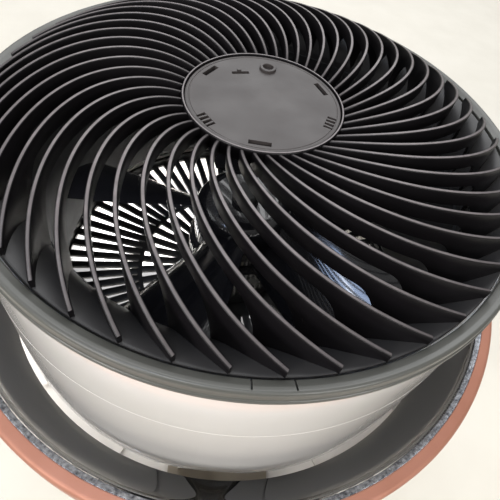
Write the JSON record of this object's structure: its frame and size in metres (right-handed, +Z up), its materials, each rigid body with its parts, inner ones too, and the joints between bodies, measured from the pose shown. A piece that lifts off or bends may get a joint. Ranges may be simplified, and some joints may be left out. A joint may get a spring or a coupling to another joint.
{
  "type": "air circulator fan",
  "caption": "Table air circulator fan: round head with a swirled grille, facing up, that tilts in a dish and swings on a drum base with controls on its front.",
  "frame": {"origin": "on the floor under the centre of the base", "axes": "+Z up, -Y is the front, where the controls and the finger grip are; at rest the head faces straight up"},
  "size_m": [0.3609, 0.361, 0.2479],
  "materials": {
    "body_white": "glossy moulded white plastic",
    "grille_black": "satin black moulded plastic with a fine grain",
    "ring_grey": "satin greenish grey plastic",
    "hub_grey": "matte warm grey plastic",
    "gloss_black": "piano-black gloss plastic",
    "duct_black": "matte black plastic",
    "frame_black": "glass-filled black plastic",
    "impeller_black": "smooth black plastic",
    "copper_plate": "copper-coloured metal plating on plastic",
    "polished_edge": "polished and sparkling bevelled edge",
    "plain_steel": "zinc-plated steel",
    "screw_steel": "zinc-plated steel",
    "motor_paint": "black baked enamel",
    "stator_iron": "laminated iron with varnished windings",
    "magnet_iron": "sintered magnet ring",
    "gear_nylon": "natural self-lubricating plastic",
    "foot_rubber": "soft matte rubber",
    "lens_clear": "clear moulded lens",
    "button_grey": "satin grey plastic",
    "board_tan": "bare side of a phenolic paper circuit board"
  },
  "bodies": {
    "base": {"base_shell": "body_white", "copper_rim": "copper_plate", "bevel_ring": "polished_edge", "base_floor": "body_white", "base_screws": "screw_steel", "rubber_feet": "foot_rubber", "ballast_plate": "plain_steel", "turntable_bearing": "gear_nylon", "spindle_clip": "plain_steel", "swing_bracket": "plain_steel", "swing_motor": "motor_paint", "control_panel": "gloss_black", "speed_lights": "lens_clear", "knob_encoder": "motor_paint", "tact_switches": "duct_black", "control_board": "board_tan", "power_inlet": "duct_black", "power_board": "board_tan"},
    "cradle": {"dish_ring": "gloss_black", "yoke": "frame_black", "trunnion_bushes": "gear_nylon", "yoke_screws": "screw_steel", "turntable_gear": "gear_nylon"},
    "head": {"trim_ring": "ring_grey", "front_grille": "grille_black", "hub_plate": "hub_grey", "head_shell_front": "body_white", "head_shell_rear": "body_white", "grip_insert": "gloss_black", "air_duct": "duct_black", "rear_grille": "duct_black", "head_screws": "screw_steel", "trunnion_pins": "plain_steel", "motor_can": "motor_paint", "motor_front_cap": "motor_paint", "motor_bearings": "plain_steel", "motor_stator": "stator_iron", "motor_screws": "screw_steel"},
    "impeller": {"impeller": "impeller_black", "impeller_nut": "duct_black", "motor_shaft": "plain_steel", "motor_rotor": "magnet_iron"},
    "pinion": {"swing_pinion": "gear_nylon"},
    "knob": {"speed_knob": "copper_plate"},
    "power": {"power_button": "button_grey"},
    "swing": {"swing_button": "button_grey"}
  },
  "joints": [
    {"name": "cradle_swing", "type": "hinge", "parent": "base", "child": "cradle", "pos_m": [0, 0, 0.02], "axis": [0, 0, 1], "range_deg": [-40, 40]},
    {"name": "head_tilt", "type": "hinge", "parent": "cradle", "child": "head", "pos_m": [0, 0, 0.115], "axis": [1, 0, 0], "range_deg": [-15, 15]},
    {"name": "impeller_spin", "type": "hinge", "parent": "head", "child": "impeller", "pos_m": [0, 0, 0.143], "axis": [0, 0, 1], "continuous": true},
    {"name": "pinion_spin", "type": "hinge", "parent": "base", "child": "pinion", "pos_m": [0, 0.065, 0.017], "axis": [0, 0, 1], "range_deg": [-134, 134]},
    {"name": "knob_turn", "type": "hinge", "parent": "base", "child": "knob", "pos_m": [0, -0.17, 0.063], "axis": [0, 1, 0], "range_deg": [0, 270]},
    {"name": "power_press", "type": "slide", "parent": "base", "child": "power", "axis": [0, 1, 0], "range_m": [0, 0.0015], "stiffness_N_per_m": 400, "springref_m": -0.001},
    {"name": "swing_press", "type": "slide", "parent": "base", "child": "swing", "axis": [0, 1, 0], "range_m": [0, 0.0015], "stiffness_N_per_m": 400, "springref_m": -0.001}
  ],
  "couplings": [
    {"joint": "pinion_spin", "follows": "cradle_swing", "ratio": -3.3333}
  ]
}
